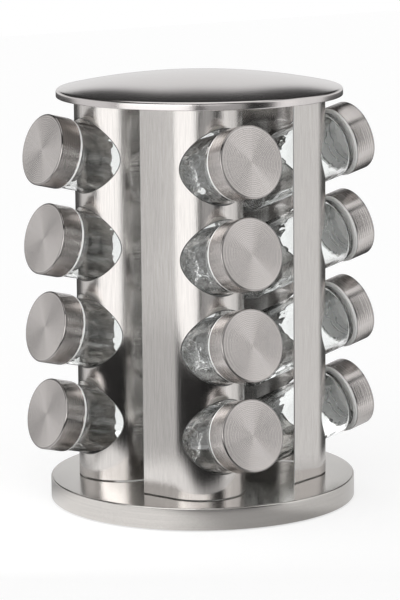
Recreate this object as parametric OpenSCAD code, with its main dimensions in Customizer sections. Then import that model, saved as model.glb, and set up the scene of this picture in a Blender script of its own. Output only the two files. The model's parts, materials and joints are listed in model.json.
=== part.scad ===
// Rotating spice rack: a pinwheel of four bent steel columns on a turntable base,
// with four tilted glass jars in each column and a domed lid on top.
// Origin: centre of the rack, on the counter. +Z is up, and the front column faces -Y.

/* [Overall] */
// Height of the rack, from the counter to the top of its lid
rack_h = 272.8; // [256:0.2:320]
// Diameter of the base pan, which the places of the columns, jars and lid follow
base_dia = 195; // [185:1:220]

/* [Base] */
// Height of the base's top face above the counter
base_h = 14.6; // [14:0.2:24]
// Rounding of the base's upper edge
base_edge_r = 2; // [1.4:0.1:4]
// Gap between the base's skirt and the counter
skirt_gap = 0.7; // [0.5:0.1:2]
// Sheet thickness of the base, the columns, the top plate and the lid
sheet_t = 0.8; // [0.5:0.1:1.2]

/* [Turntable] */
// Diameter of the foot plate
foot_plate_dia = 150; // [140:1:170]
// Thickness of the foot plate and of the upper race
race_t = 1.5; // [1.2:0.1:2]
// Number of rubber feet
foot_count = 6; // [3:1:8]
// Diameter of a rubber foot
foot_dia = 14; // [8:1:18]
// Diameter of the peg that holds a foot in the foot plate
foot_peg_dia = 5.6; // [3:0.2:7]
// Distance of the feet from the foot plate's edge
foot_inset = 2; // [0.5:0.5:6]
// Height of a rubber foot under the foot plate
foot_h = 2; // [1.4:0.1:3]
// Number of bearing balls
ball_count = 24; // [8:1:36]
// Diameter of a bearing ball
ball_dia = 5; // [4:0.2:6]
// Diameter of the circle that the balls run on
ball_circle_dia = 100; // [80:1:110]
// Depth of each ball groove
groove_depth = 0.8; // [0.4:0.1:1]
// Width of the upper race outside the ball circle
race_margin = 8; // [6:0.5:10]
// Width of the upper race's weld flange
race_flange_w = 6; // [4:0.5:8]
// Clearance around a ball
ball_gap = 0.05; // [0.03:0.01:0.1]
// Diameter of the pivot rivet's shank
rivet_dia = 6; // [4:0.5:8]
// Diameter of the pivot rivet's heads
rivet_head_dia = 13; // [11:0.5:16]
// Thickness of the pivot rivet's heads
rivet_head_t = 1.2; // [0.8:0.1:1.3]
// Clearance of the pivot rivet and of the feet's pegs in their holes
rivet_gap = 0.08; // [0.03:0.01:0.1]

/* [Columns] */
// Distance of a column's bend in from the base's edge, straight ahead of the rack's axis
column_inset = 27.7; // [24:0.1:32]
// Metal left beside a jar, between its glass and the outside of the bend
column_margin = 5.75; // [4.5:0.05:7]
// Gap from the rack's axis to the outside of a bend
centre_gap = 3; // [2:0.1:5]
// Angle that the bend turns through from its middle to the strip
strip_bend = 72.5; // [70:0.5:80]
// Angle that the bend turns through from its middle to the stop leg
stop_bend = 78; // [74:0.5:82]
// Length of the flat strip beside a bend
strip_len = 25; // [20:0.5:27]
// Length of the flat leg that stops the next column's jars
stop_len = 30; // [26:0.5:31]
// Width of a fixing tab
tab_w = 10; // [6:0.5:14]
// Length of a fixing tab beyond the sheet it passes through
tab_reach = 1.6; // [0.5:0.1:2]
// Clearance around a fixing tab in its slot
tab_gap = 0.15; // [0.05:0.05:0.3]
// Height of the free sheet between the top row of caps and the top plate
head_room = 8.8; // [6:0.1:20]

/* [Jars] */
// Number of rows of jars
row_count = 4; // [2:1:4]
// Tilt of a jar, cap upwards
tilt = 14; // [10:0.5:16]
// Diameter of the glass
jar_dia = 42.5; // [40:0.1:44]
// Wall of the glass
glass_wall = 2; // [1.6:0.1:2.4]
// Thickness of the glass in the jar's bottom
glass_floor = 4; // [3:0.1:6]
// Rounding of the jar's heel
heel_r = 3; // [2:0.1:4]
// Height of the push-up in the jar's bottom
push_up = 1.2; // [0.4:0.1:2]
// Gap between the glass shoulder and the collar above it
shoulder_gap = 1.1; // [0.4:0.1:2]
// Step from the glass body in to the neck
shoulder_step = 3.05; // [2.6:0.05:3.6]
// Height that a thread ridge stands out from the neck
thread_rise = 1.1; // [0.6:0.05:1.2]
// Width of a thread ridge on the neck
thread_w = 1.7; // [1.2:0.1:2]
// Distance from one thread ridge to the next
thread_pitch = 4.4; // [4:0.1:4.8]
// Play between a jar and the sheet's hole
hole_play = 2; // [1.8:0.05:2.4]
// Angle by which a hole is punched flatter than its jar lies
hole_lean = 9; // [7:0.5:10]
// Gap at which a jar sits on its hole and against its stop
seat_gap = 0.3; // [0.2:0.05:0.5]
// Gap between the lowest jars and the base
floor_gap = 2.5; // [0.5:0.1:6]

/* [Caps] */
// Reach of a cap's middle beyond the base's edge
cap_overhang = 1; // [0:0.1:4]
// Diameter of a cap
cap_dia = 45; // [44.6:0.1:50]
// Height of a cap
cap_h = 14; // [12:0.1:15]
// Wall of the steel cap
cap_wall = 0.5; // [0.3:0.05:0.8]
// Rounding of the cap's outer edge
cap_edge_r = 0.9; // [0.8:0.05:1.4]
// Height of the insert's collar that shows under the cap
collar_h = 1.6; // [0.6:0.1:1.7]
// Step from the cap in to the insert's collar
collar_step = 0.3; // [0.1:0.05:0.4]
// Thickness of the insert's sealing disc
seal_t = 1.05; // [0.6:0.05:1.5]
// Gap between the sealing disc and the glass
seal_gap = 0.15; // [0.1:0.05:0.3]
// Gap between the glass and the insert
thread_gap = 0.4; // [0.3:0.05:0.5]
// Width of the insert's own thread ridge
insert_thread_w = 1.2; // [0.8:0.1:1.6]
// Clearance of the insert inside the steel cap
insert_gap = 0.05; // [0.03:0.01:0.1]

/* [Lid] */
// Distance of the lid's edge inside the base's edge
lid_inset = 7.05; // [2:0.05:12]
// Height of the lid, rim and dome together
lid_h = 14.8; // [13.5:0.1:24]
// Radius of the lid's dome
dome_r = 420; // [380:5:900]
// Rounding between the lid's rim and its dome
lid_edge_r = 2; // [1.4:0.1:3]
// Width of the rim's return under the top plate
lid_hem_w = 4; // [2:0.1:6]
// Clearance of the top plate inside the lid
plate_gap = 0.05; // [0.03:0.01:0.2]

/* [Hidden] */
$fn = 96;
ROWS = [for (row = [1:row_count]) row];
SIDES = ["front", "right", "back", "left"];
function jar_name(side, row) = str("jar_", SIDES[side], "_", row);
function insert_name(side, row) = str("cap_insert_", SIDES[side], "_", row);
function cap_name(side, row) = str("cap_", SIDES[side], "_", row);
function panel_name(side) = str("column_", SIDES[side]);
TURNTABLE_NODES = ["foot_plate", "rubber_feet", "bearing_balls", "upper_race", "pivot_rivet"];
COVER_NODES = ["base_pan", "top_plate", "lid"];

// Points along an arc about a centre, both ends included
function arc(centre, r, from, to, steps = 8) =
    [for (i = [0:steps]) let (a = from + (to - from) * i / steps) centre + r * [cos(a), sin(a)]];

// A small overrun, so that a cut passes right through
past = 1;

// Depth of the flats inside the bend's tangent, which leaves a faint crease where each one meets the bend
crease_in = 0.01;

// Turntable levels
foot_plate_top = foot_h + race_t;
ball_r = ball_dia / 2;
ball_z = foot_plate_top + ball_r - groove_depth;
upper_race_z = ball_z + ball_r - groove_depth;
upper_race_top = upper_race_z + race_t;
pan_under = base_h - sheet_t;
dish_r = ball_circle_dia / 2 + race_margin;
flange_r = dish_r + race_flange_w;
rivet_r = rivet_dia / 2;
rivet_head_r = rivet_head_dia / 2;
foot_circle_r = (foot_plate_dia - foot_dia) / 2 - foot_inset;
foot_peg_r = foot_peg_dia / 2;
base_r = base_dia / 2;

// Column plan
jar_r = jar_dia / 2;
hole_r = jar_r + hole_play;
hole_tilt = tilt - hole_lean;
column_r = jar_r + column_margin;
column_x = -(column_r + centre_gap);
column_out = base_r - column_inset - column_r;
leg_out = column_r - crease_in;
stop_end = column_x + leg_out * sin(stop_bend) + stop_len * cos(stop_bend);

// Jar length: from the next column's stop leg, which the bottom stands off, to the cap's overhang
jar_y = -(stop_end + seat_gap + jar_r * sin(tilt));
cap_top = (base_r + cap_overhang + jar_y) / cos(tilt);
insert_top = cap_top - cap_wall;
jar_h = insert_top - seal_t - seal_gap;
cap_r = cap_dia / 2;

// Jar levels: the rows share the height between the base and the top plate
column_top = rack_h - lid_h + sheet_t;
cap_rise = cap_top * sin(tilt) + cap_r * cos(tilt);
first_jar_z = base_h + floor_gap + jar_r * cos(tilt);
row_pitch = (column_top - head_room - cap_rise - first_jar_z) / (row_count - 1);
function jar_z(row) = first_jar_z + (row - 1) * row_pitch;

// Lift of a hole's middle above its jar's axis at the sheet, so that the jar sits on the hole's inner edge
hole_slant = tan(tilt) - tan(hole_tilt);
hole_lift = hole_r / cos(hole_tilt) - jar_r / cos(tilt) - sheet_t * hole_slant - seat_gap;
// Rise from a jar's bottom to its hole's middle, taken above the bend's axis
hole_rise = (column_out + jar_y) * tan(tilt) + column_r * hole_slant + hole_lift;

// Levels along a jar, from its bottom
cap_foot = cap_top - cap_h;
collar_foot = cap_foot - collar_h;
collar_r = cap_r - collar_step;
neck_r = jar_r - shoulder_step;
shoulder_z = collar_foot - shoulder_gap - shoulder_step;
inner_r = jar_r - glass_wall;
neck_inner_r = neck_r - glass_wall;
inner_shoulder_z = shoulder_z - glass_wall / 2;
thread_r = neck_r + thread_rise;
thread_z = jar_h - 2 * thread_pitch - thread_w / 2;
insert_r = cap_r - cap_wall - insert_gap;
insert_inner_r = thread_r + thread_gap;
insert_thread_r = neck_r + thread_gap;
insert_thread_z = thread_z + (thread_pitch + thread_w - insert_thread_w) / 2;

// Lid and top plate levels
tab_foot = pan_under - tab_reach;
tab_head = column_top + sheet_t + tab_reach;
lid_z = column_top - sheet_t;
lid_r = base_r - lid_inset;
dome_z = rack_h - dome_r;
lid_edge_x = lid_r - lid_edge_r;
lid_edge_z = dome_z + sqrt(pow(dome_r - lid_edge_r, 2) - pow(lid_edge_x, 2));
lid_edge_angle = atan2(lid_edge_z - dome_z, lid_edge_x);
plate_r = lid_r - sheet_t - plate_gap;
plate_rim_top = lid_edge_z - plate_gap;

// Turns what is drawn for the front column to another side
module at_side(side) {
    rotate([0, 0, 90 * side]) children();
}

// Puts what is drawn along +Z, from a jar's bottom, at a jar's place
module at_jar(side, row) {
    at_side(side) translate([column_x, jar_y, jar_z(row)]) rotate([90 - tilt, 0, 0]) children();
}

// Puts what is drawn along +X, outer face on the X axis, at a column's stop leg or its strip
module at_leg(strip) {
    translate([column_x, -column_out, 0]) mirror([strip ? 1 : 0, 0, 0])
        rotate([0, 0, strip ? strip_bend : stop_bend]) translate([0, -leg_out, 0]) children();
}

// A point of a column's stop leg or strip in plan, along its outer face and inwards from that face
function leg_point(strip, along, inward) =
    let (turn = strip ? strip_bend : stop_bend, out = leg_out - inward)
    let (x = along * cos(turn) + out * sin(turn), y = along * sin(turn) - out * cos(turn))
    [column_x + (strip ? -x : x), y - column_out];

// Both fixing tabs of a column in plan, grown at their sides and at their faces
module tab_plan(side_gap, face_gap) {
    for (strip = [false, true])
        at_leg(strip) translate([(strip ? strip_len : stop_len) / 2 - tab_w / 2 - side_gap, -face_gap])
            square([tab_w + 2 * side_gap, sheet_t + 2 * face_gap]);
}

// The slots that the tabs of all four columns pass through, cut from z upwards
module tab_slots(z, height) {
    for (side = [0:3]) at_side(side) translate([0, 0, z]) linear_extrude(height) tab_plan(tab_gap, tab_gap);
}

// What is cut from a column's end, from z upwards, so that only its tabs are left there
module tab_cut(z, height) {
    translate([0, 0, z]) linear_extrude(height) difference() {
        circle(r = base_r);
        tab_plan(0, past);
    }
}

// The area that a column's sheet wraps round, drawn in from its outer face, with the corners of its open side
module column_area(inward, corners) {
    translate([column_x, -column_out]) difference() {
        circle(r = column_r - inward);
        translate([-column_r, 0]) square(2 * column_r);
    }
    polygon(concat(
        [[column_x, -column_out], leg_point(false, 0, inward)],
        corners,
        [leg_point(true, 0, inward)]
    ));
}

// A column's bent sheet in plan: strip, bend and stop leg
module column_plan() {
    difference() {
        column_area(0, [
            leg_point(false, stop_len, 0),
            leg_point(false, stop_len, sheet_t + past),
            leg_point(true, strip_len, sheet_t + past),
            leg_point(true, strip_len, 0)
        ]);
        column_area(sheet_t, [
            leg_point(false, stop_len + past, sheet_t),
            leg_point(true, strip_len + past, sheet_t)
        ]);
    }
}

// Rubber foot disc with the peg that holds it in the foot plate
module rubber_foot() {
    cylinder(r = foot_dia / 2, h = foot_h);
    cylinder(r = foot_peg_r, h = foot_plate_top);
}

// Calls its children once at each foot's place
module at_feet() {
    for (i = [0:foot_count - 1])
        rotate([0, 0, 360 * i / foot_count]) translate([foot_circle_r, 0, 0]) children();
}

// The round groove that the balls run in
module ball_groove() {
    rotate_extrude() translate([ball_circle_dia / 2, ball_z]) circle(r = ball_r + ball_gap);
}

module rubber_feet() {
    color("#2b2b2d") at_feet() rubber_foot();
}

module foot_plate() {
    color("#b9bcc0") difference() {
        translate([0, 0, foot_h]) cylinder(r = foot_plate_dia / 2, h = race_t);
        ball_groove();
        translate([0, 0, foot_h - past]) cylinder(r = rivet_r + rivet_gap, h = race_t + 2 * past);
        at_feet() translate([0, 0, foot_h - past]) cylinder(r = foot_peg_r + rivet_gap, h = race_t + 2 * past);
    }
}

module bearing_balls() {
    color("#d5d7da") for (i = [0:ball_count - 1])
        rotate([0, 0, 360 * i / ball_count]) translate([ball_circle_dia / 2, 0, ball_z]) sphere(r = ball_r);
}

// Dished plate: its floor runs on the balls, and its flange is welded under the base pan
module upper_race() {
    color("#b9bcc0") difference() {
        rotate_extrude() polygon([
            [rivet_r + rivet_gap, upper_race_z],
            [dish_r, upper_race_z],
            [dish_r, pan_under - race_t],
            [flange_r, pan_under - race_t],
            [flange_r, pan_under],
            [dish_r - race_t, pan_under],
            [dish_r - race_t, upper_race_top],
            [rivet_r + rivet_gap, upper_race_top]
        ]);
        ball_groove();
    }
}

module pivot_rivet() {
    foot = foot_h - rivet_head_t;
    crown = upper_race_top + rivet_gap;
    color("#c4c6c9") {
        translate([0, 0, foot]) cylinder(r = rivet_head_r, h = rivet_head_t);
        translate([0, 0, foot]) cylinder(r = rivet_r, h = crown + rivet_head_t - foot);
        translate([0, 0, crown]) cylinder(r = rivet_head_r, h = rivet_head_t);
    }
}

module base_pan() {
    edge = [base_r - base_edge_r, base_h - base_edge_r];
    color("#cfd0d1") difference() {
        rotate_extrude() polygon(concat(
            [[base_r - sheet_t, skirt_gap], [base_r, skirt_gap]],
            arc(edge, base_edge_r, 0, 90),
            [[0, base_h], [0, pan_under]],
            arc(edge, base_edge_r - sheet_t, 90, 0)
        ));
        tab_slots(pan_under - past, sheet_t + 2 * past);
    }
}

module column(side) {
    color("#d2d3d4") at_side(side) difference() {
        translate([0, 0, tab_foot]) linear_extrude(tab_head - tab_foot) column_plan();
        tab_cut(tab_foot - past, base_h - tab_foot + past);
        tab_cut(column_top, tab_head - column_top + past);
        for (row = ROWS)
            translate([column_x, -column_out, jar_z(row) + hole_rise])
                rotate([90 - hole_tilt, 0, 0]) cylinder(r = hole_r, h = 2 * column_r);
    }
}

// Dished plate inside the lid, which the columns' upper tabs pass through
module top_plate() {
    color("#c9cacc") difference() {
        rotate_extrude() polygon([
            [0, column_top],
            [plate_r, column_top],
            [plate_r, plate_rim_top],
            [plate_r - sheet_t, plate_rim_top],
            [plate_r - sheet_t, column_top + sheet_t],
            [0, column_top + sheet_t]
        ]);
        tab_slots(column_top - past, sheet_t + 2 * past);
    }
}

module lid() {
    edge = [lid_edge_x, lid_edge_z];
    crown = [0, dome_z];
    inner_edge_r = lid_edge_r - sheet_t;
    color("#c6c7c8") rotate_extrude() polygon(concat(
        [[lid_r - lid_hem_w, lid_z], [lid_r, lid_z]],
        arc(edge, lid_edge_r, 0, lid_edge_angle),
        [for (p = arc(crown, dome_r, lid_edge_angle, 90, 16)) if (p[0] < lid_edge_x) p],
        [for (p = arc(crown, dome_r - sheet_t, 90, lid_edge_angle, 16)) if (p[0] < lid_edge_x) p],
        arc(edge, inner_edge_r, lid_edge_angle, 0),
        [[lid_r - sheet_t, column_top], [lid_r - lid_hem_w, column_top]]
    ));
}

// One ridge of a closure's thread, drawn as a plain ring from the wall out to its crest
function ridge(wall, crest, z, width) =
    [[wall, z], [crest, z + width / 4], [crest, z + width * 3 / 4], [wall, z + width]];

module jar(side, row) {
    color("#cfdcd8", 0.45) at_jar(side, row) rotate_extrude() polygon(concat(
        [[0, push_up], [jar_r - 2 * heel_r, 0]],
        arc([jar_r - heel_r, heel_r], heel_r, -90, 0),
        arc([neck_r, shoulder_z], shoulder_step, 0, 90),
        ridge(neck_r, thread_r, thread_z, thread_w),
        ridge(neck_r, thread_r, thread_z + thread_pitch, thread_w),
        [[neck_r, jar_h], [neck_inner_r, jar_h]],
        arc([neck_inner_r, inner_shoulder_z], shoulder_step, 90, 0),
        arc([inner_r - heel_r, glass_floor + heel_r], heel_r, 0, -90),
        [[0, glass_floor]]
    ));
}

// Threaded plastic insert of a cap, with the sealing disc and the collar that shows under the steel
module cap_insert(side, row) {
    bore_ridge = ridge(insert_inner_r, insert_thread_r, insert_thread_z, insert_thread_w);
    color("#e9e9e4") at_jar(side, row) rotate_extrude() polygon(concat(
        [[insert_inner_r, collar_foot], [collar_r, collar_foot], [collar_r, cap_foot], [insert_r, cap_foot]],
        [[insert_r, insert_top], [0, insert_top], [0, jar_h + seal_gap], [insert_inner_r, jar_h + seal_gap]],
        [for (i = [3:-1:0]) bore_ridge[i]]
    ));
}

module cap(side, row) {
    edge = [cap_r - cap_edge_r, cap_top - cap_edge_r];
    color("#c8c6c3") at_jar(side, row) rotate_extrude() polygon(concat(
        [[cap_r - cap_wall, cap_foot], [cap_r, cap_foot]],
        arc(edge, cap_edge_r, 0, 90),
        [[0, cap_top], [0, insert_top]],
        [[cap_r - cap_wall, insert_top]]
    ));
}

foot_plate();
rubber_feet();
bearing_balls();
upper_race();
pivot_rivet();
base_pan();
top_plate();
lid();
for (side = [0:3]) {
    column(side);
    for (row = ROWS) {
        jar(side, row);
        cap_insert(side, row);
        cap(side, row);
    }
}
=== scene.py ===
import json
import math

import bpy
import numpy as np
from mathutils import Matrix, Vector
from mathutils.geometry import delaunay_2d_cdt


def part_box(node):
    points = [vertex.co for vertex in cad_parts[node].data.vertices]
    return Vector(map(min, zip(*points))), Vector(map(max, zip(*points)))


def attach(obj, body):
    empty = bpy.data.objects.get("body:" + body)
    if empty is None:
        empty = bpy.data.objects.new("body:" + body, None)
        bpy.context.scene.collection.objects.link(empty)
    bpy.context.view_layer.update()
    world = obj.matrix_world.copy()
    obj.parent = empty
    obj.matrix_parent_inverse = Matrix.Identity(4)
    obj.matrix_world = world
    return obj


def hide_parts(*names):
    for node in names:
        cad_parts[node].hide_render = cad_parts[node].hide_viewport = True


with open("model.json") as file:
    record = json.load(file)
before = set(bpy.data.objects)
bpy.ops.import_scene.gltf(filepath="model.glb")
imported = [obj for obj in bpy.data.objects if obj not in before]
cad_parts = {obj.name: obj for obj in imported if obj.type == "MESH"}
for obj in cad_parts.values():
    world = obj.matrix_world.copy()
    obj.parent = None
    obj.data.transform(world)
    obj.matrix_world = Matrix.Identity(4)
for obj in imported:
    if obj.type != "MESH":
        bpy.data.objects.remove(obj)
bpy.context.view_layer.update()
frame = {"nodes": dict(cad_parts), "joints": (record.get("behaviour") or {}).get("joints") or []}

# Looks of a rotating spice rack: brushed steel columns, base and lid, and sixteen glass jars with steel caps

# Sizes of the pieces are in millimetres, scaled to metres when a mesh is made; the studio's are in metres
MM = 0.001
SIDES = ("front", "right", "back", "left")
ROWS = (1, 2, 3, 4)

# Sheet steel of the base, the columns and the lid
SHEET = 0.8
SHEET_EDGE = 0.3
PUNCH_ROLL = 0.55

# Base pan
BASE_R = 97.5
BASE_TOP = 14.6
BASE_EDGE_R = 1.0
SKIRT_FOOT = 0.7

# Columns: a strip, a round bend and a stop leg, seen from above
BEND_X = -30.0
BEND_Y = -42.8
BEND_R = 27.0
STRIP_BEND = math.radians(72.5)
STOP_BEND = math.radians(78.0)
STRIP_LEN = 25.0
STOP_LEN = 30.0
OUTSIDE, INSIDE, CUT_EDGE, HOLE_EDGE = range(4)
FOOT_GAP = 0.4

# Holes for the jars, punched flatter than the jars lie
HOLE_R = 23.25
HOLE_TILT = math.radians(5.0)
SEAT_GAP = 0.3

# Caps and their plastic inserts, measured along a jar's axis from its bottom
CAP_R = 22.5
CAP_H = 14.0
CAP_TOP = 93.19
CAP_FOOT = CAP_TOP - CAP_H
CAP_WALL = 0.5
CAP_EDGE_R = 0.9
CAP_RIM_W = 0.5
CAP_CURL_H = 0.5
COLLAR_R = 22.2
COLLAR_H = 1.6
COLLAR_FOOT = CAP_FOOT - COLLAR_H
INSERT_R = 21.95
INSERT_BORE = 19.7
INSERT_RIDGE_RISE = 0.7
INSERT_RIDGE_W = 1.2
INSERT_SOFT_R = 0.25
SEAL_T = 1.05
SEAL_GAP = 0.15

# Glass jars
JAR_R = 21.25
JAR_TOP = CAP_TOP - CAP_WALL - SEAL_T - SEAL_GAP
GLASS_WALL = 2.0
GLASS_FLOOR = 4.0
HEEL_R = 3.0
REST_IN = 5.1
PUSH_UP = 1.2
PUSH_UP_IN = 7.8
PUSH_UP_FOOT = 0.3
STIPPLE_END = 5.5
STIPPLE_FULL = 3.0
SHOULDER_GAP = 1.1
SHOULDER_STEP = 3.05
SHOULDER_Z = COLLAR_FOOT - SHOULDER_GAP - SHOULDER_STEP
THREAD_RISE = 1.1
THREAD_W = 1.7
THREAD_PITCH = 4.4

# Lid
LID_R = 90.45
LID_DOME_R = 420.0
LID_EDGE_R = 2.0
LID_HEM_W = 4.0
LID_ROLL_R = 0.7
LID_RIM_IN = 1.2
LID_RIM_FULL = 0.3

# Marks of turning: their run along a side against a face, and the spacing of the caps' two sets of grooves
RING_SLANT = 0.7
GROOVE_COARSE = 0.43
GROOVE_FINE = 0.31

# How finely the pieces are cut into faces
JAR_SEGMENTS = 112
INSERT_SEGMENTS = 96
CAP_SEGMENTS = 128
COVER_SEGMENTS = 256
HOLE_SEGMENTS = 112
CURL_STEPS = 8
SOFT_STEPS = 5
LIP_STEPS = 12
DOME_STEPS = 40
SHARP_ANGLE = math.radians(32.0)
SAME_POINT = 1e-6

# Points that fill a column's sheet: their pitch along it and up it, and their distance from its edges
BEND_STEP = math.radians(3.0)
FLAT_STEPS = 4
STEP_GAP = 0.2
FILL_PITCH = 5.0
FILL_FOOT = 3.0
FILL_HEAD = 2.0
FILL_SIDE = 1.0
FILL_GAP = 0.7

# The photograph's camera: the rack stands turned by this angle in front of it
PHOTO_TURN = math.radians(34.5)
CAMERA_BACK = 1.8049
CAMERA_UP = 0.4530
CAMERA_PITCH = math.radians(10.247)
CAMERA_YAW = math.radians(-0.023)
CAMERA_ROLL = math.radians(-0.502)
CAMERA_LENS = 172.48
CAMERA_SENSOR = 36.0

# The lamps stand in front of the rack and face away from the camera
LAMP_AHEAD = 0.2
LAMP_UP = 0.203
LAMP_H = 0.26

# The table, and how far from the rack's axis reflections see it
TABLE_HALF = 3.0
TABLE_DROP = 0.0001
TABLE_PAINT = (0.4, 0.4, 0.4, 1)
TABLE_GLOW = 0.66
TABLE_NEAR = 0.15
TABLE_FAR = 0.2

# The pool of light on the table, placed as the camera sees it
POOL_RIGHT = -0.097
POOL_AHEAD = 0.1
POOL_CORE = 0.06
POOL_EDGE = 0.125
POOL_GLOW = 0.55

# White, which is dim through two jars: a ray crosses four faces of glass on its way through one
WHITE = (1, 1, 1, 1)
DIM_WHITE = 0.15
JAR_FACES = 4

# Turns what is laid out as the camera sees it, right and away, into the rack's own frame
photo_frame = Matrix.Rotation(-PHOTO_TURN, 4, "Z")
TO_CAMERA = photo_frame.to_3x3() @ Vector((0, -1, 0))
TO_RIGHT = photo_frame.to_3x3() @ Vector((1, 0, 0))
joints = {joint["name"]: joint for joint in frame["joints"]}


class Wire:
    """One output of a node; arithmetic on it adds Math nodes to its tree."""

    def __init__(self, graph, socket):
        self.graph = graph
        self.socket = socket

    def math(self, operation, first, second):
        return self.graph.node("ShaderNodeMath", {"operation": operation}, {0: first, 1: second})

    def __add__(self, other):
        return self.math("ADD", self, other)

    def __radd__(self, other):
        return self.math("ADD", other, self)

    def __sub__(self, other):
        return self.math("SUBTRACT", self, other)

    def __rsub__(self, other):
        return self.math("SUBTRACT", other, self)

    def __mul__(self, other):
        return self.math("MULTIPLY", self, other)

    def __rmul__(self, other):
        return self.math("MULTIPLY", other, self)

    def __truediv__(self, other):
        return self.math("DIVIDE", self, other)

    def __rtruediv__(self, other):
        return self.math("DIVIDE", other, self)

    def __mod__(self, other):
        return self.math("MODULO", self, other)


class Graph:
    """A node tree that is written as expressions on its wires."""

    def __init__(self, tree):
        self.tree = tree

    def node(self, kind, settings, sockets, output=0):
        """Adds a node, sets its settings first and then its sockets, and gives back one of its outputs."""
        made = self.tree.nodes.new(kind)
        for key, value in settings.items():
            setattr(made, key, value)
        for key, value in sockets.items():
            if isinstance(value, Wire):
                self.tree.links.new(value.socket, made.inputs[key])
            else:
                made.inputs[key].default_value = value
        return Wire(self, made.outputs[output]) if made.outputs else made

    def stretch(self, vector, scale):
        """A vector with each of its axes scaled."""
        return self.node("ShaderNodeVectorMath", {"operation": "MULTIPLY"}, {0: vector, 1: scale})

    def split(self, vector):
        """The x, y and z of a vector."""
        x = self.node("ShaderNodeSeparateXYZ", {}, {0: vector})
        outputs = x.socket.node.outputs
        return x, Wire(self, outputs[1]), Wire(self, outputs[2])

    def join(self, x, y, z):
        """A vector from its x, y and z."""
        return self.node("ShaderNodeCombineXYZ", {}, {0: x, 1: y, 2: z})

    def noise(self, vector, scale=1.0, detail=2.0):
        """Smooth noise from 0 to 1."""
        return self.node("ShaderNodeTexNoise", {}, {"Vector": vector, "Scale": scale, "Detail": detail})

    def wave(self, value, length):
        """A sine wave of that length."""
        return self.node("ShaderNodeMath", {"operation": "SINE"}, {0: value * (math.tau / length)})

    def ease(self, value, low, high, at_low=0.0, at_high=1.0):
        """A value eased from one level at low to another at high."""
        sockets = {"Value": value, "From Min": low, "From Max": high, "To Min": at_low, "To Max": at_high}
        return self.node("ShaderNodeMapRange", {"interpolation_type": "SMOOTHSTEP"}, sockets)

    def mix(self, factor, first, second):
        """A colour between two others."""
        return self.node("ShaderNodeMix", {"data_type": "RGBA"}, {0: factor, 6: first, 7: second}, 2)

    def bump(self, height, depth):
        """A normal for a relief of that depth, in metres."""
        return self.node("ShaderNodeBump", {}, {"Height": height, "Distance": depth, "Strength": 1.0})

    def blend(self, factor, first, second):
        """A shader between two others."""
        return self.node("ShaderNodeMixShader", {}, {0: factor, 1: first, 2: second})

    def finish(self, shader, kind="ShaderNodeOutputMaterial"):
        """Ends the tree in a shader."""
        self.node(kind, {}, {"Surface": shader})


def material_graph(name):
    """A new material and the empty graph that it is written in."""
    material = bpy.data.materials.new(name)
    material.use_nodes = True
    material.node_tree.nodes.clear()
    return material, Graph(material.node_tree)


def object_place(graph):
    """A point's place in the rack's frame, in metres."""
    return graph.node("ShaderNodeTexCoord", {}, {}, "Object")


def turned_place(graph):
    """A point's place on a turned piece, along and about its own axis, in millimetres."""
    return graph.node("ShaderNodeAttribute", {"attribute_name": "turned"}, {}, "Vector")


def along(graph, vector, direction):
    """How far a vector reaches along a direction."""
    sockets = {0: vector, 1: direction}
    return graph.node("ShaderNodeVectorMath", {"operation": "DOT_PRODUCT"}, sockets, "Value")


def length_of(graph, vector):
    """A vector's length."""
    return graph.node("ShaderNodeVectorMath", {"operation": "LENGTH"}, {0: vector}, "Value")


def larger(graph, first, second):
    """The larger of two values."""
    return graph.node("ShaderNodeMath", {"operation": "MAXIMUM"}, {0: first, 1: second})


def between(first, second, share):
    """A value that goes from the first to the second as the share goes from 0 to 1."""
    return first + share * (second - first)


def about_axis(graph, place):
    """A point's x, y and z, and its distance from the z axis."""
    x, y, z = graph.split(place)
    return x, y, z, length_of(graph, graph.join(x, y, 0.0))


def ring_line(radius, z):
    """A coordinate that changes across the rings left by turning: outwards on a face and along a side."""
    return radius + RING_SLANT * z


def light_path(graph, kind):
    """What kind of ray is asking, or how often it has turned."""
    return graph.node("ShaderNodeLightPath", {}, {}, kind)


def white_through_glass(graph):
    """How white the backdrop shows through glass: fully through one jar, and dimly through two."""
    passed = light_path(graph, "Transmission Depth")
    return graph.ease(passed, JAR_FACES + 1, 2 * JAR_FACES - 1, 1.0, DIM_WHITE)


def surface(graph, material, sockets):
    """Ends a material in one shader with those sockets."""
    graph.finish(graph.node("ShaderNodeBsdfPrincipled", {}, sockets))
    return material


def steel(graph, material, sockets):
    """Ends a material as bare metal."""
    return surface(graph, material, {"Metallic": 1.0, **sockets})


def make_column_steel():
    """Stainless sheet with a fine grain that runs up the columns."""
    material, graph = material_graph("column_brushed_steel")
    place = object_place(graph)
    streak = graph.noise(graph.stretch(place, (1700.0, 1700.0, 60.0)), detail=2.0)
    hair = graph.noise(graph.stretch(place, (4000.0, 4000.0, 90.0)), detail=1.0)
    cloud = graph.noise(place, scale=24.0)
    grain = 0.6 * streak + 0.4 * hair
    colour = graph.mix(grain, (0.52, 0.497, 0.48, 1), (0.8, 0.77, 0.745, 1))
    return steel(graph, material, {
        "Base Color": colour,
        "Roughness": 0.1 + 0.06 * streak + 0.04 * cloud,
        "Anisotropic": 0.95,
        "Normal": graph.bump(grain, 0.00006),
    })


def make_inner_steel():
    """The columns' inner face, left as it came from the mill."""
    material, graph = material_graph("column_mill_steel")
    place = object_place(graph)
    streak = graph.noise(graph.stretch(place, (900.0, 900.0, 40.0)), detail=2.0)
    cloud = graph.noise(place, scale=30.0)
    colour = graph.mix(cloud, (0.68, 0.66, 0.645, 1), (0.78, 0.76, 0.745, 1))
    return steel(graph, material, {
        "Base Color": colour,
        "Roughness": 0.14 + 0.08 * streak,
        "Anisotropic": 0.8,
        "Normal": graph.bump(streak, 0.00004),
    })


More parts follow.
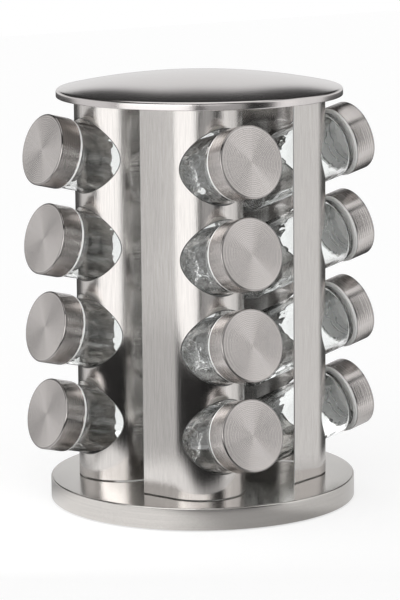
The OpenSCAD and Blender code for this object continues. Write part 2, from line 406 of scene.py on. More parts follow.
def make_edge_steel():
    """The columns' upright sheared edges: bright cut metal, with a colour paler than the sheet's as a
    painted highlight along them.
    """
    material, graph = material_graph("column_sheared_edge")
    score = graph.noise(graph.stretch(object_place(graph), (3000.0, 3000.0, 250.0)), detail=2.0)
    # Partly painted highlight: a paler colour than the sheet's, so that a bright line runs along the cut
    # edge
    colour = graph.mix(score, (0.84, 0.83, 0.82, 1), (0.93, 0.925, 0.92, 1))
    return steel(graph, material, {"Base Color": colour, "Roughness": 0.24 + 0.14 * score})


def make_shadow_edge_steel():
    """The dark edges of the jars' holes and of the columns' feet and heads, whose near-black colour is
    painted shadow of the gaps at these edges.
    """
    material, graph = material_graph("column_painted_shadow_edge")
    score = graph.noise(object_place(graph), scale=1500.0, detail=2.0)
    # Painted shadow: a near-black colour stands for the shade in the gaps round the jars and at the columns'
    # feet and heads
    colour = graph.mix(score, (0.12, 0.118, 0.115, 1), (0.2, 0.197, 0.193, 1))
    return steel(graph, material, {"Base Color": colour, "Roughness": 0.3 + 0.15 * score})


def make_base_steel():
    """Stainless sheet with the rings of a turned finish, for the base pan."""
    material, graph = material_graph("base_turned_steel")
    place = object_place(graph)
    x, y, z, radius = about_axis(graph, place)
    line = ring_line(radius, z)
    ring = graph.noise(graph.join(1400.0 * line, 16.0 * x, 16.0 * y), detail=3.0)
    hair = graph.noise(graph.stretch(place, (2400.0, 2400.0, 700.0)), detail=1.0)
    cloud = graph.noise(place, scale=18.0)
    grain = 0.5 * ring + 0.5 * hair
    colour = graph.mix(grain, (0.5, 0.48, 0.46, 1), (0.77, 0.74, 0.71, 1))
    return steel(graph, material, {
        "Base Color": colour,
        "Roughness": 0.13 + 0.07 * ring + 0.05 * cloud,
        "Normal": graph.bump(grain, 0.00003),
    })


def make_plate_steel():
    """Dull brushed steel of the plate under the lid."""
    material, graph = material_graph("plate_brushed_steel")
    hair = graph.noise(graph.stretch(object_place(graph), (2200.0, 2200.0, 160.0)), detail=2.0)
    colour = graph.mix(hair, (0.66, 0.63, 0.61, 1), (0.84, 0.81, 0.79, 1))
    return steel(graph, material, {
        "Base Color": colour,
        "Roughness": 0.4 + 0.1 * hair,
        "Normal": graph.bump(hair, 0.00004),
    })


def make_lid_steel():
    """Satin stainless, smoother than the rest, with a brushed rim, for the lid."""
    material, graph = material_graph("lid_satin_steel")
    place = object_place(graph)
    *_, radius = about_axis(graph, place)
    rim = graph.ease(radius, (LID_R - LID_RIM_IN) * MM, (LID_R - LID_RIM_FULL) * MM)
    satin = graph.noise(graph.stretch(place, (60.0, 1800.0, 1800.0)), detail=2.0)
    hair = graph.noise(graph.stretch(place, (2200.0, 2200.0, 200.0)), detail=2.0)
    grain = between(satin, hair, rim)
    cloud = graph.noise(place, scale=20.0)
    colour = graph.mix(grain, (0.66, 0.625, 0.615, 1), (0.725, 0.69, 0.68, 1))
    return steel(graph, material, {
        "Base Color": colour,
        "Roughness": 0.1 + 0.04 * grain + 0.03 * cloud + 0.08 * rim,
        "Normal": graph.bump(grain, 0.000012),
    })


def make_cap_steel():
    """Stainless turned in fine rings about each cap's own axis, smooth at its rim, with a dark line of
    painted shade along the rim.
    """
    material, graph = material_graph("cap_turned_steel")
    place = turned_place(graph)
    x, y, z, radius = about_axis(graph, place)
    line = ring_line(radius, z)
    ring = graph.noise(graph.join(9.0 * line, 0.05 * x, 0.05 * y), detail=2.0)
    groove = graph.wave(line, GROOVE_COARSE) + 0.7 * graph.wave(line, GROOVE_FINE)
    cloud = graph.noise(place, scale=0.06)
    ray = graph.noise(graph.join(28.0 * x / radius, 28.0 * y / radius, 0.0), detail=1.0)
    corner = CAP_R + CAP_TOP - CAP_EDGE_R
    rim = graph.ease(radius + z, corner - CAP_RIM_W, corner)
    foot = graph.ease(z, CAP_FOOT + 2 * CAP_CURL_H, CAP_FOOT + CAP_CURL_H)
    turned = 1.0 - larger(graph, rim, foot)
    colour = graph.mix(0.5 * ring + 0.5 * ray, (0.5, 0.47, 0.455, 1), (0.7, 0.665, 0.645, 1))
    # Painted shade: the rim's colour is darkened towards near-black to draw a dark line along the cap's edge
    colour = graph.mix(0.45 * rim, colour, (0.12, 0.112, 0.108, 1))
    return steel(graph, material, {
        "Base Color": colour,
        "Roughness": 0.08 + turned * (0.05 + 0.05 * ring + 0.04 * cloud),
        "Normal": graph.bump(groove * turned, 0.000015),
    })


def make_turntable_steel():
    """Zinc-plated steel of the two races and the rivet."""
    material, graph = material_graph("turntable_zinc_plate")
    place = object_place(graph)
    spangle = graph.node("ShaderNodeTexVoronoi", {}, {"Vector": place, "Scale": 160.0}, "Color")
    patch = graph.noise(place, scale=70.0, detail=4.0)
    tint = graph.mix(patch, (0.5, 0.51, 0.52, 1), (0.66, 0.67, 0.68, 1))
    colour = graph.mix(0.12, tint, spangle)
    return steel(graph, material, {
        "Base Color": colour,
        "Roughness": 0.34 + 0.16 * patch,
        "Normal": graph.bump(patch, 0.00004),
    })


def make_ball_steel():
    """Polished bearing steel with a thin film of grease."""
    material, graph = material_graph("ball_polished_steel")
    film = graph.noise(object_place(graph), scale=900.0, detail=3.0)
    colour = graph.mix(film, (0.7, 0.7, 0.71, 1), (0.8, 0.8, 0.81, 1))
    return steel(graph, material, {"Base Color": colour, "Roughness": 0.06 + 0.12 * film})


def make_foot_rubber():
    """Moulded black rubber, dusty where it has stood."""
    material, graph = material_graph("foot_moulded_rubber")
    place = object_place(graph)
    grain = graph.noise(place, scale=1600.0, detail=3.0)
    dust = graph.noise(place, scale=90.0, detail=4.0)
    colour = graph.mix(dust, (0.018, 0.018, 0.019, 1), (0.06, 0.058, 0.055, 1))
    return surface(graph, material, {
        "Base Color": colour,
        "Roughness": 0.62 + 0.25 * dust,
        "Normal": graph.bump(grain, 0.00006),
    })


def make_jar_glass():
    """Clear pressed glass with a faint green tint, wavy walls and a stippled bottom."""
    material, graph = material_graph("jar_pressed_glass")
    place = turned_place(graph)
    _, _, z = graph.split(place)
    wave = graph.noise(graph.stretch(place, (0.13, 0.13, 0.08)), detail=1.0)
    fold = graph.node("ShaderNodeMath", {"operation": "ABSOLUTE"}, {0: wave - 0.5})
    bottom = graph.ease(z, STIPPLE_END, STIPPLE_FULL)
    stipple = graph.node("ShaderNodeTexVoronoi", {}, {"Vector": place, "Scale": 0.55}, "Distance")
    relief = 0.5 * wave + 0.7 * fold + bottom * stipple
    return surface(graph, material, {
        "Base Color": (0.975, 0.985, 0.98, 1),
        "Roughness": 0.0,
        "IOR": 1.5,
        "Transmission Weight": 1.0,
        "Normal": graph.bump(relief, 0.0006),
    })


def make_insert_plastic():
    """White moulded plastic of the threaded inserts."""
    material, graph = material_graph("insert_white_plastic")
    place = turned_place(graph)
    mould = graph.noise(place, scale=0.35, detail=3.0)
    colour = graph.mix(mould, (0.92, 0.92, 0.9, 1), (0.96, 0.96, 0.95, 1))
    return surface(graph, material, {
        "Base Color": colour,
        "Roughness": 0.34 + 0.14 * mould,
        "Normal": graph.bump(mould, 0.00002),
    })


def show(name, data):
    """A new object in the scene."""
    made = bpy.data.objects.new(name, data)
    bpy.context.scene.collection.objects.link(made)
    return made


def make_turning_tree():
    """Geometry Nodes that turn a profile, drawn in the XZ plane, once about the Z axis."""
    tree = bpy.data.node_groups.new("turned_piece", "GeometryNodeTree")
    for name, kind in (("Profile", "Geometry"), ("Segments", "Int"), ("Finish", "Material")):
        tree.interface.new_socket(name, in_out="INPUT", socket_type="NodeSocket" + kind)
    tree.interface.new_socket("Piece", in_out="OUTPUT", socket_type="NodeSocketGeometry")
    graph = Graph(tree)
    profile = graph.node("NodeGroupInput", {}, {})
    given = profile.socket.node.outputs
    segments = Wire(graph, given["Segments"])
    finish = Wire(graph, given["Finish"])
    count = graph.node("GeometryNodeAttributeDomainSize", {"component": "MESH"}, {0: profile}, "Point Count")
    grid_sizes = {"Vertices X": segments + 1.0, "Vertices Y": count}
    grid = graph.node("GeometryNodeMeshGrid", {}, grid_sizes, "Mesh")
    index = graph.node("GeometryNodeInputIndex", {}, {})
    place = graph.node("GeometryNodeInputPosition", {}, {})
    step = index % count
    point = graph.node(
        "GeometryNodeSampleIndex",
        {"data_type": "FLOAT_VECTOR"},
        {"Geometry": profile, "Value": place, "Index": step},
    )
    radius, _, height = graph.split(point)
    angle = (index - step) / count * (math.tau / segments)
    turned = graph.join(
        radius * graph.node("ShaderNodeMath", {"operation": "COSINE"}, {0: angle}),
        radius * graph.node("ShaderNodeMath", {"operation": "SINE"}, {0: angle}),
        height,
    )
    shell = graph.node("GeometryNodeSetPosition", {}, {"Geometry": grid, "Position": turned})
    shell = graph.node("GeometryNodeMergeByDistance", {}, {"Geometry": shell, "Distance": SAME_POINT})
    shell = graph.node("GeometryNodeSetShadeSmooth", {}, {"Geometry": shell, "Shade Smooth": True})
    own_place = graph.node("ShaderNodeVectorMath", {"operation": "SCALE"}, {0: place, "Scale": 1 / MM})
    shell = graph.node(
        "GeometryNodeStoreNamedAttribute",
        {"data_type": "FLOAT_VECTOR", "domain": "POINT"},
        {"Geometry": shell, "Name": "turned", "Value": own_place},
    )
    shell = graph.node("GeometryNodeRealizeInstances", {}, {"Geometry": shell})
    shell = graph.node("GeometryNodeSetMaterial", {}, {"Geometry": shell, "Material": finish})
    graph.node("NodeGroupOutput", {}, {"Piece": shell})
    return tree


def socket_of(tree, name):
    """The identifier of a tree's named input."""
    return next(s.identifier for s in tree.interface.items_tree if s.name == name and s.in_out == "INPUT")


def turn(profile, segments, finish):
    """The mesh that a profile of (radius, height) points makes when it is turned."""
    points = [(radius * MM, 0.0, height * MM) for radius, height in profile]
    line = bpy.data.meshes.new("profile")
    line.from_pydata(points, [(i, i + 1) for i in range(len(points) - 1)], [])
    draft = show("profile", line)
    modifier = draft.modifiers.new("turned_piece", "NODES")
    modifier.node_group = turning_tree
    modifier[socket_of(turning_tree, "Segments")] = segments
    modifier[socket_of(turning_tree, "Finish")] = finish
    mesh = bpy.data.meshes.new_from_object(draft.evaluated_get(bpy.context.evaluated_depsgraph_get()))
    bpy.data.objects.remove(draft)
    mesh.set_sharp_from_angle(angle=SHARP_ANGLE)
    return mesh


def arc(centre, radius, start, end, steps=10):
    """Points along an arc, from one angle in degrees to another."""
    angles = [math.radians(start + (end - start) * i / steps) for i in range(steps + 1)]
    return [(centre[0] + radius * math.cos(a), centre[1] + radius * math.sin(a)) for a in angles]


def ridge(wall, crest, foot, width):
    """One ridge of a thread, drawn upwards from the wall."""
    return [(wall, foot), (crest, foot + width / 4), (crest, foot + width * 3 / 4), (wall, foot + width)]


def jar_profile():
    """The glass: heel, wall, shoulder and threaded neck outside, and one smooth hollow inside."""
    neck = JAR_R - SHOULDER_STEP
    bore = JAR_R - GLASS_WALL
    neck_bore = neck - GLASS_WALL
    lip = GLASS_WALL / 2
    thread = JAR_TOP - 2 * THREAD_PITCH - THREAD_W / 2
    crest = neck + THREAD_RISE
    return [
        (0.0, PUSH_UP),
        (JAR_R - PUSH_UP_IN, PUSH_UP_FOOT),
        (JAR_R - REST_IN, 0.0),
        *arc((JAR_R - HEEL_R, HEEL_R), HEEL_R, -90, 0),
        *arc((neck, SHOULDER_Z), SHOULDER_STEP, 0, 90),
        *ridge(neck, crest, thread, THREAD_W),
        *ridge(neck, crest, thread + THREAD_PITCH, THREAD_W),
        *arc((neck - lip, JAR_TOP - lip), lip, 0, 180, LIP_STEPS),
        *arc((neck_bore, SHOULDER_Z - GLASS_WALL / 2), SHOULDER_STEP, 90, 0),
        *arc((bore - HEEL_R, GLASS_FLOOR + HEEL_R), HEEL_R, 0, -90),
        (0.0, GLASS_FLOOR),
    ]


def insert_profile():
    """The plastic insert: the collar that shows under the cap, the sealing disc and one thread ridge."""
    soft = INSERT_SOFT_R
    seal = JAR_TOP + SEAL_GAP
    top = CAP_TOP - CAP_WALL
    crest = INSERT_BORE - INSERT_RIDGE_RISE
    ridge_foot = JAR_TOP - 1.5 * THREAD_PITCH - INSERT_RIDGE_W / 2
    thread = ridge(INSERT_BORE, crest, ridge_foot, INSERT_RIDGE_W)
    return [
        (INSERT_BORE, COLLAR_FOOT),
        *arc((COLLAR_R - soft, COLLAR_FOOT + soft), soft, -90, 0, SOFT_STEPS),
        *arc((COLLAR_R - soft, CAP_FOOT - soft), soft, 0, 90, SOFT_STEPS),
        (INSERT_R, CAP_FOOT),
        (INSERT_R, top),
        (0.0, top),
        (0.0, seal),
        (INSERT_BORE, seal),
        *reversed(thread),
        (INSERT_BORE, COLLAR_FOOT),
    ]


def cap_profile():
    """The drawn steel cap: a plain side with a rounded outer edge and a curled foot."""
    curl = CAP_WALL / 2
    inner_r = CAP_R - CAP_WALL
    under = CAP_TOP - CAP_WALL
    return [
        *arc((CAP_R - curl, CAP_FOOT + curl), curl, 180, 360, CURL_STEPS),
        *arc((CAP_R - CAP_EDGE_R, CAP_TOP - CAP_EDGE_R), CAP_EDGE_R, 0, 90),
        (CAP_R / 2, CAP_TOP),
        (0.0, CAP_TOP),
        (0.0, under),
        (inner_r, under),
        (inner_r, CAP_FOOT + curl),
    ]


def base_profile():
    """The inverted base pan: skirt with a curled foot, rounded edge and flat top."""
    curl = SHEET / 2
    edge = (BASE_R - BASE_EDGE_R, BASE_TOP - BASE_EDGE_R)
    return [
        *arc((BASE_R - curl, SKIRT_FOOT + curl), curl, 180, 360, CURL_STEPS),
        *arc(edge, BASE_EDGE_R, 0, 90),
        (BASE_R / 2, BASE_TOP),
        (0.0, BASE_TOP),
        (0.0, BASE_TOP - SHEET),
        *arc(edge, BASE_EDGE_R - SHEET, 90, 0),
        (BASE_R - SHEET, SKIRT_FOOT + curl),
    ]


def lid_profile():
    """The domed lid: hem, rolled foot, rim, rounded edge and shallow dome."""
    foot, apex = (corner.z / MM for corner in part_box("lid"))
    dome_z = apex - LID_DOME_R
    edge_x = LID_R - LID_EDGE_R
    edge_z = dome_z + math.sqrt((LID_DOME_R - LID_EDGE_R) ** 2 - edge_x ** 2)
    lean = math.degrees(math.atan2(edge_z - dome_z, edge_x))
    return [
        (LID_R - LID_HEM_W, foot),
        *arc((LID_R - LID_ROLL_R, foot + LID_ROLL_R), LID_ROLL_R, -90, 0, CURL_STEPS),
        *arc((edge_x, edge_z), LID_EDGE_R, 0, lean),
        *arc((0.0, dome_z), LID_DOME_R, lean, 90, DOME_STEPS)[1:],
        *arc((0.0, dome_z), LID_DOME_R - SHEET, 90, lean, DOME_STEPS),
        *arc((edge_x, edge_z), LID_EDGE_R - SHEET, lean, 0),
        (LID_R - SHEET, foot + SHEET),
        (LID_R - LID_HEM_W, foot + SHEET),
        (LID_R - LID_HEM_W, foot),
    ]


def put(name, mesh, body, slot, *nodes):
    """Shows a mesh as a piece that rides on a body and stands for CAD nodes."""
    piece = show(name, mesh)
    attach(piece, body)
    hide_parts(*nodes)


def jar_place(side, row):
    """A jar's place, from its cap's joint: the middle of its bottom, its axis and its wall's upward side."""
    joint = joints[f"{side}_cap_{row}_turn"]
    axis = Vector(joint["axis"]).normalized()
    across = Vector((0, 0, 1)).cross(axis).normalized()
    upward = axis.cross(across)
    turned = Matrix((across, upward, axis)).transposed().to_4x4()
    return Matrix.Translation(joint["pos_m"]) @ turned


def place_jars():
    """Puts a glass jar, its plastic insert and its steel cap in every hole."""
    glass = turn(jar_profile(), JAR_SEGMENTS, jar_glass)
    insert = turn(insert_profile(), INSERT_SEGMENTS, insert_plastic)
    cap = turn(cap_profile(), CAP_SEGMENTS, cap_steel)
    for side in SIDES:
        for row in ROWS:
            place = jar_place(side, row)
            kit = (
                ("glass", glass, f"{side}_jar_{row}", "jar_glass", f"jar_{side}_{row}"),
                ("insert", insert, f"{side}_closure_{row}", "insert_plastic", f"cap_insert_{side}_{row}"),
                ("cap", cap, f"{side}_closure_{row}", "cap_steel", f"cap_{side}_{row}"),
            )
            for kind, shape, body, slot, node in kit:
                mesh = shape.copy()
                mesh.transform(place)
                put(f"{kind}_piece_{side}_{row}", mesh, body, slot, node)


class BentSheet:
    """A column's sheet as a flat blank: how far along it, from the strip to the stop leg, and how high."""

    def __init__(self, floor, roof):
        self.floor = floor
        self.roof = roof
        self.runs = ((STRIP_LEN, 0.0), (BEND_R, STRIP_BEND + STOP_BEND), (STOP_LEN, 0.0))
        lengths = [size * (bend or 1.0) for size, bend in self.runs]
        self.marks = np.concatenate(([0.0], np.cumsum(lengths)))
        self.length = self.marks[-1]

    def follow(self, distances):
        """The outer face's points in plan, with its outward normals, at distances along the blank."""
        facing = 1.5 * math.pi - STRIP_BEND
        corner = STRIP_LEN * np.array((-math.cos(STRIP_BEND), math.sin(STRIP_BEND)))
        foot = BEND_R * np.array((-math.sin(STRIP_BEND), -math.cos(STRIP_BEND)))
        point = np.array((BEND_X, BEND_Y)) + foot + corner
        places = np.zeros((len(distances), 2))
        normals = np.zeros((len(distances), 2))
        for (size, bend), start, end in zip(self.runs, self.marks, self.marks[1:]):
            here = (distances >= start) & ((distances < end) | (end == self.length))
            travel = distances[here] - start
            out = np.array((math.cos(facing), math.sin(facing)))
            ahead = np.array((-out[1], out[0]))
            if bend:
                angle = facing + travel / size
                radial = np.stack((np.cos(angle), np.sin(angle)), 1)
                centre = point - size * out
                places[here] = centre + size * radial
                normals[here] = radial
                facing += bend
                point = centre + size * np.array((math.cos(facing), math.sin(facing)))
            else:
                places[here] = point + travel[:, None] * ahead
                normals[here] = out
                point = point + size * ahead
        return places, normals

    def raise_points(self, blank, depth):
        """Points of the blank in space, sunk below its outer face, and the outer face's normals there."""
        places, normals = self.follow(blank[:, 0])
        points = np.column_stack((places - depth * normals, blank[:, 1]))
        return points, np.column_stack((normals, np.zeros(len(blank))))

    def steps(self, start, end):
        """Distances from start to end along the blank, close together where it is bent."""
        stops = [start]
        for (_, bend), low, high in zip(self.runs, self.marks, self.marks[1:]):
            count = max(1, int(bend / BEND_STEP)) if bend else FLAT_STEPS
            inside = np.linspace(low, high, count + 1)
            stops += [stop for stop in inside if start + STEP_GAP < stop < end - STEP_GAP]
        return np.unique(np.round(stops + [end], 6))

    def outline(self, inset):
        """The blank's edge."""
        stops = self.steps(inset, self.length - inset)
        foot = [(stop, self.floor + inset) for stop in stops]
        head = [(stop, self.roof - inset) for stop in stops[::-1]]
        return np.array(foot + head)

    def hole(self, place, radius, depth):
        """A hole's edge in the blank: where a round punch, flatter than the jar lies, meets the sheet."""
        axis = place.to_3x3() @ Vector((0, 0, 1))
        tilt = math.asin(axis.z)
        turns = np.linspace(0, math.tau, HOLE_SEGMENTS, endpoint=False)
        across, upward = radius * np.cos(turns), radius * np.sin(turns)
        sheet_r = BEND_R - depth
        out = np.sqrt(sheet_r ** 2 - across ** 2)
        slant = math.tan(tilt) - math.tan(HOLE_TILT)
        lift = HOLE_R / math.cos(HOLE_TILT) - JAR_R / math.cos(tilt) - SHEET * slant - SEAT_GAP
        centre = place.translation / MM
        middle = centre.z + (centre.y - BEND_Y) * math.tan(tilt) + BEND_R * slant + lift
        height = middle + out * math.tan(HOLE_TILT) + upward / math.cos(HOLE_TILT)
        angle = np.arctan2(across, out)
        return np.column_stack((STRIP_LEN + BEND_R * (STRIP_BEND + angle), height))


def inside_loop(points, loop):
    """Which points of the blank lie inside a closed loop."""
    x, y = points[:, 0, None], points[:, 1, None]
    x1, y1 = loop[:, 0], loop[:, 1]
    x2, y2 = np.roll(x1, -1), np.roll(y1, -1)
    level = (y1 > y) != (y2 > y)
    gap = np.where(y2 == y1, 1.0, y2 - y1)
    cross = x < (x2 - x1) * (y - y1) / gap + x1
    return (level & cross).sum(1) % 2 == 1


def in_holes(points, holes):
    """Which points of the blank lie in one of its holes."""
    return np.any([inside_loop(points, hole) for hole in holes], axis=0)


def fill_blank(sheet, loops):
    """Triangles between the blank's edge and its holes, with points inside so that the bend stays round."""
    heights = np.arange(sheet.floor + FILL_FOOT, sheet.roof - FILL_HEAD, FILL_PITCH)
    stops = sheet.steps(FILL_SIDE, sheet.length - FILL_SIDE)
    grid = np.array([(stop, height) for stop in stops for height in heights])
    edge_points = np.concatenate(loops)
    spacing = np.sqrt(((grid[:, None, :] - edge_points[None]) ** 2).sum(2)).min(1)
    grid = grid[(spacing > FILL_GAP) & ~in_holes(grid, loops[1:])]
    links = []
    start = 0
    for loop in loops:
        links += [(start + i, start + (i + 1) % len(loop)) for i in range(len(loop))]
        start += len(loop)
    points = [Vector(point) for point in np.concatenate((edge_points, grid))]
    only_inside = 1
    found, _, triangles, *_ = delaunay_2d_cdt(points, links, [], only_inside, SAME_POINT)
    corners = np.array([tuple(point) for point in found])
    triangles = np.array(triangles)
    middles = corners[triangles].mean(1)
    return corners, triangles[~in_holes(middles, loops[1:])]


class SheetFaces:
    """Gathers a bent sheet's faces, each with its finish, and the bend's own normals at their corners."""

    def __init__(self, sheet):
        self.sheet = sheet
        self.points = []
        self.normals = []
        self.faces = []
        self.finishes = []
        self.on_bend = []
        self.total = 0

    def add_points(self, blank, depth, side=1):
        """Adds points of the blank, sunk below its outer face."""
        places, outward = self.sheet.raise_points(blank, depth)
        self.points.append(places)
        self.normals.append(side * outward)
        self.total += len(places)

    def add_skin(self, loops, depth, side, finish):
        """Adds the sheet's outer face, at side 1, or its inner face, at side -1."""
        corners, triangles = fill_blank(self.sheet, loops)
        self.faces += (triangles[:, ::side] + self.total).tolist()
        self.finishes += [finish] * len(triangles)
        self.on_bend += [True] * len(triangles)
        self.add_points(corners, depth, side)

    def add_edge(self, upper, lower, upper_depth, lower_depth, is_outline):
        """Adds the strip of cut edge between two loops; the outline runs the other way round than a hole."""
        count = len(upper)
        order = -1 if is_outline else 1
        for here in range(count):
            after = (here + 1) % count
            quad = (here, after, count + after, count + here)
            self.faces.append([self.total + corner for corner in quad[::order]])
        # The edges of the feet, heads and holes take the near-black finish of painted shadow; the upright
        # outline edges take the pale finish, partly a painted highlight
        upright = np.isclose(upper[:, 0], np.roll(upper[:, 0], -1), rtol=0.0, atol=1e-3)
        self.finishes += np.where(upright & is_outline, CUT_EDGE, HOLE_EDGE).tolist()
        self.on_bend += [False] * count
        self.add_points(upper, upper_depth)
        self.add_points(lower, lower_depth)

    def make_mesh(self):
        """The mesh, smooth along its bend and with its four finishes."""
        mesh = bpy.data.meshes.new("column_sheet")
        mesh.from_pydata((np.concatenate(self.points) * MM).tolist(), [], self.faces)
        mesh.polygons.foreach_set("use_smooth", [True] * len(self.faces))
        for finish in (column_steel, inner_steel, edge_steel, shadow_edge_steel):
            mesh.materials.append(finish)
        mesh.polygons.foreach_set("material_index", self.finishes)
        self.set_normals(mesh)
        return mesh

    def set_normals(self, mesh):
        """Gives the sheet's two faces the true normals of the bend, and leaves its edges as they are."""
        mesh.set_sharp_from_angle(angle=SHARP_ANGLE)
        loops = np.array([corner.vector for corner in mesh.corner_normals])
        owner = np.repeat(np.arange(len(mesh.polygons)), [len(p.vertices) for p in mesh.polygons])
        vertex = np.array([loop.vertex_index for loop in mesh.loops])
        on_bend = np.array(self.on_bend)[owner]
        loops[on_bend] = np.concatenate(self.normals)[vertex[on_bend]]
        mesh.normals_split_custom_set(loops.tolist())


def make_column_mesh():
    """The front column's bent sheet with its holes, its edges broken by a fine chamfer."""
    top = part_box("top_plate")[0].z / MM
    sheet = BentSheet(BASE_TOP + FOOT_GAP, top)
    depths = (0.0, SHEET_EDGE, SHEET - SHEET_EDGE, SHEET)
    insets = (SHEET_EDGE, 0.0, 0.0, SHEET_EDGE)
    rolls = (PUNCH_ROLL, 0.0, 0.0, SHEET_EDGE)
    rings = []
    for depth, inset, roll in zip(depths, insets, rolls):
        holes = [sheet.hole(jar_place("front", row), HOLE_R + roll, depth) for row in ROWS]
        rings.append([sheet.outline(inset), *holes])
    faces = SheetFaces(sheet)
    faces.add_skin(rings[0], depths[0], 1, OUTSIDE)
    faces.add_skin(rings[-1], depths[-1], -1, INSIDE)
    for level in range(len(depths) - 1):
        for number, (upper, lower) in enumerate(zip(rings[level], rings[level + 1])):
            faces.add_edge(upper, lower, depths[level], depths[level + 1], number == 0)
    return faces.make_mesh()


def place_columns():
    """Puts the four columns round the base, a quarter turn apart."""
    blank = make_column_mesh()
    for number, side in enumerate(SIDES):
        mesh = blank.copy()
        mesh.transform(Matrix.Rotation(number * math.pi / 2, 4, "Z"))
        put(f"sheet_piece_{side}", mesh, "carousel", "column_steel", f"column_{side}")


def place_covers():
    """Puts the base pan and the lid on the rack."""
    base = turn(base_profile(), COVER_SEGMENTS, base_steel)
    lid = turn(lid_profile(), COVER_SEGMENTS, lid_steel)
    put("base_piece", base, "carousel", "base_steel", "base_pan")
    put("lid_piece", lid, "carousel", "lid_steel", "lid")


def finish_hidden_parts():
    """Gives the CAD nodes that stay their own finishes."""
    finishes = {
        "foot_plate": turntable_steel,
        "upper_race": turntable_steel,
        "pivot_rivet": turntable_steel,
        "bearing_balls": ball_steel,
        "rubber_feet": foot_rubber,
        "top_plate": plate_steel,
    }
    for node, finish in finishes.items():
        frame["nodes"][node].data.materials.clear()
        frame["nodes"][node].data.materials.append(finish)


def add_camera():
    """The photograph's viewpoint."""
    forward = Vector((
        math.sin(CAMERA_YAW) * math.cos(CAMERA_PITCH),
        math.cos(CAMERA_YAW) * math.cos(CAMERA_PITCH),
        -math.sin(CAMERA_PITCH),
    ))
    level = Vector((math.cos(CAMERA_YAW), -math.sin(CAMERA_YAW), 0.0))
    upright = level.cross(forward)
    right = level * math.cos(CAMERA_ROLL) + upright * math.sin(CAMERA_ROLL)
    up = upright * math.cos(CAMERA_ROLL) - level * math.sin(CAMERA_ROLL)
    stand = Matrix((right, up, -forward)).transposed().to_4x4()
    stand.translation = (0.0, -CAMERA_BACK, CAMERA_UP)
    data = bpy.data.cameras.new("photo_camera")
    data.lens = CAMERA_LENS
    data.sensor_width = CAMERA_SENSOR
    camera = show("photo_camera", data)
    camera.matrix_world = photo_frame @ stand
    bpy.context.scene.camera = camera


def add_softbox(name, right, width, brightness):
    """A soft lamp of an even brightness, at a place to the right as the camera sees it."""
    data = bpy.data.lights.new(name, "AREA")
    data.shape = "RECTANGLE"
    data.size = width
    data.size_y = LAMP_H
    data.energy = brightness * math.pi * width * LAMP_H
    lamp = show(name, data)
    place = Matrix.Translation((right, -LAMP_AHEAD, LAMP_UP))
    facing_away = Vector((0, 1, 0)).to_track_quat("-Z", "Y").to_matrix().to_4x4()
    lamp.matrix_world = photo_frame @ place @ facing_away
    lamp.visible_camera = False


def room_level(graph, front, right, rise):
    """How bright a reflection sees the room, by how far its ray goes to the front, to the right and up."""
    behind = graph.ease(front, -0.6, -0.35, 1.0, 0.0)
    side_top = graph.ease(right, 0.2, 0.6, 0.41, 0.75)
    sweep_top = graph.ease(right * right, 0.0, 0.012, 0.411, 0.241)
    under_top = graph.ease(rise - between(side_top, sweep_top, behind), -0.045, 0.045, 1.0, 0.0)
    left_wall = graph.ease(front, 0.22, 0.44, 0.8, 0.03)
    right_wall = graph.ease(front, 0.4, 0.52, 1.0, 0.02) * graph.ease(front, 0.0, 0.25, 0.88, 1.1)
    walls = between(left_wall, right_wall, graph.ease(right, -0.1, 0.1))
    sweep = graph.ease(rise, -0.1, -0.02, 0.08, 0.82)
    ceiling = graph.ease(rise, 0.8, 0.88, 0.04, 1.1)
    room = between(ceiling, between(walls, sweep, behind), under_top)
    card = graph.ease(front, 0.4, 0.6) * graph.ease(right, 0.2, 0.5, 1.0, 0.0)
    card = card * graph.ease(rise, 0.0, 0.04) * graph.ease(rise, 0.3, 0.4, 1.0, 0.0)
    card_level = graph.ease(light_path(graph, "Glossy Depth"), 1.0, 2.0, 0.75, 1.6)
    return between(room, card_level, card)


def add_studio():
    """A white room: pale behind and beside the rack in reflections, and dark above it and in front."""
    world = bpy.data.worlds.new("studio")
    world.use_nodes = True
    world.node_tree.nodes.clear()
    bpy.context.scene.world = world
    graph = Graph(world.node_tree)
    ray = graph.node("ShaderNodeTexCoord", {}, {}, "Generated")
    _, _, rise = graph.split(ray)
    front = along(graph, ray, TO_CAMERA)
    mirrored = room_level(graph, front, along(graph, ray, TO_RIGHT), rise)
    scattered = graph.ease(light_path(graph, "Diffuse Depth"), 0.0, 1.0)
    inside_jar = graph.ease(light_path(graph, "Transmission Depth"), 1.0, 3.0, 0.8, 2.4)
    through = light_path(graph, "Is Transmission Ray") * (1.0 - scattered)
    level = between(mirrored, inside_jar, scattered) + 0.3 * through
    straight_through = through * graph.ease(front, -0.75, -0.45, 1.0, 0.0)
    level = between(level, white_through_glass(graph), straight_through)
    dim = graph.node("ShaderNodeBackground", {}, {"Color": WHITE, "Strength": level})
    white = graph.node("ShaderNodeBackground", {}, {"Color": WHITE, "Strength": 1.0})
    graph.finish(graph.blend(light_path(graph, "Is Camera Ray"), dim, white), "ShaderNodeOutputWorld")


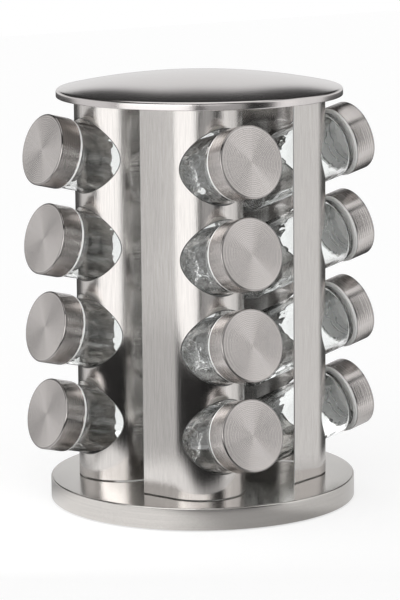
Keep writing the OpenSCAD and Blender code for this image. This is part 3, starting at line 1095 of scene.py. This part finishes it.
def add_floor():
    """A plain pale table with the rack's soft shadow; reflections see only its part near the rack."""
    material, graph = material_graph("floor_white")
    through = light_path(graph, "Is Transmission Ray") * white_through_glass(graph)
    seen = larger(graph, light_path(graph, "Is Camera Ray"), through)
    mirrored = light_path(graph, "Is Glossy Ray")
    place = object_place(graph)
    right = along(graph, place, TO_RIGHT)
    ahead = along(graph, place, TO_CAMERA)
    from_pool = length_of(graph, graph.join(right - POOL_RIGHT, ahead - POOL_AHEAD, 0.0))
    pool = graph.ease(from_pool, POOL_CORE, POOL_EDGE, 1.0, 0.0)
    lit_by_wall = graph.ease(right, 0.07, 0.1, 0.12, 0.4)
    past_table = mirrored * graph.ease(length_of(graph, place), TABLE_NEAR, TABLE_FAR) * (1.0 - pool)
    paint = graph.node("ShaderNodeBsdfDiffuse", {}, {"Color": TABLE_PAINT})
    brightness = TABLE_GLOW * seen + mirrored * (lit_by_wall + POOL_GLOW * pool)
    glow = graph.node("ShaderNodeEmission", {}, {"Strength": brightness})
    lit = graph.node("ShaderNodeAddShader", {}, {0: paint, 1: glow})
    open_air = graph.node("ShaderNodeBsdfTransparent", {}, {})
    graph.finish(graph.blend(past_table, lit, open_air))
    signs = ((-1, -1), (1, -1), (1, 1), (-1, 1))
    mesh = bpy.data.meshes.new("floor")
    mesh.from_pydata([(x * TABLE_HALF, y * TABLE_HALF, -TABLE_DROP) for x, y in signs], [], [(0, 1, 2, 3)])
    mesh.materials.append(material)
    floor = show("floor", mesh)


column_steel = make_column_steel()
inner_steel = make_inner_steel()
edge_steel = make_edge_steel()
shadow_edge_steel = make_shadow_edge_steel()
base_steel = make_base_steel()
plate_steel = make_plate_steel()
lid_steel = make_lid_steel()
cap_steel = make_cap_steel()
turntable_steel = make_turntable_steel()
ball_steel = make_ball_steel()
foot_rubber = make_foot_rubber()
jar_glass = make_jar_glass()
insert_plastic = make_insert_plastic()
turning_tree = make_turning_tree()

place_covers()
place_columns()
place_jars()
finish_hidden_parts()

add_camera()
add_studio()
add_floor()
add_softbox("left_softbox", right=-0.175, width=0.32, brightness=1.43)
add_softbox("front_fill", right=0.06, width=0.1, brightness=0.42)
bpy.context.scene.view_settings.view_transform = "Standard"
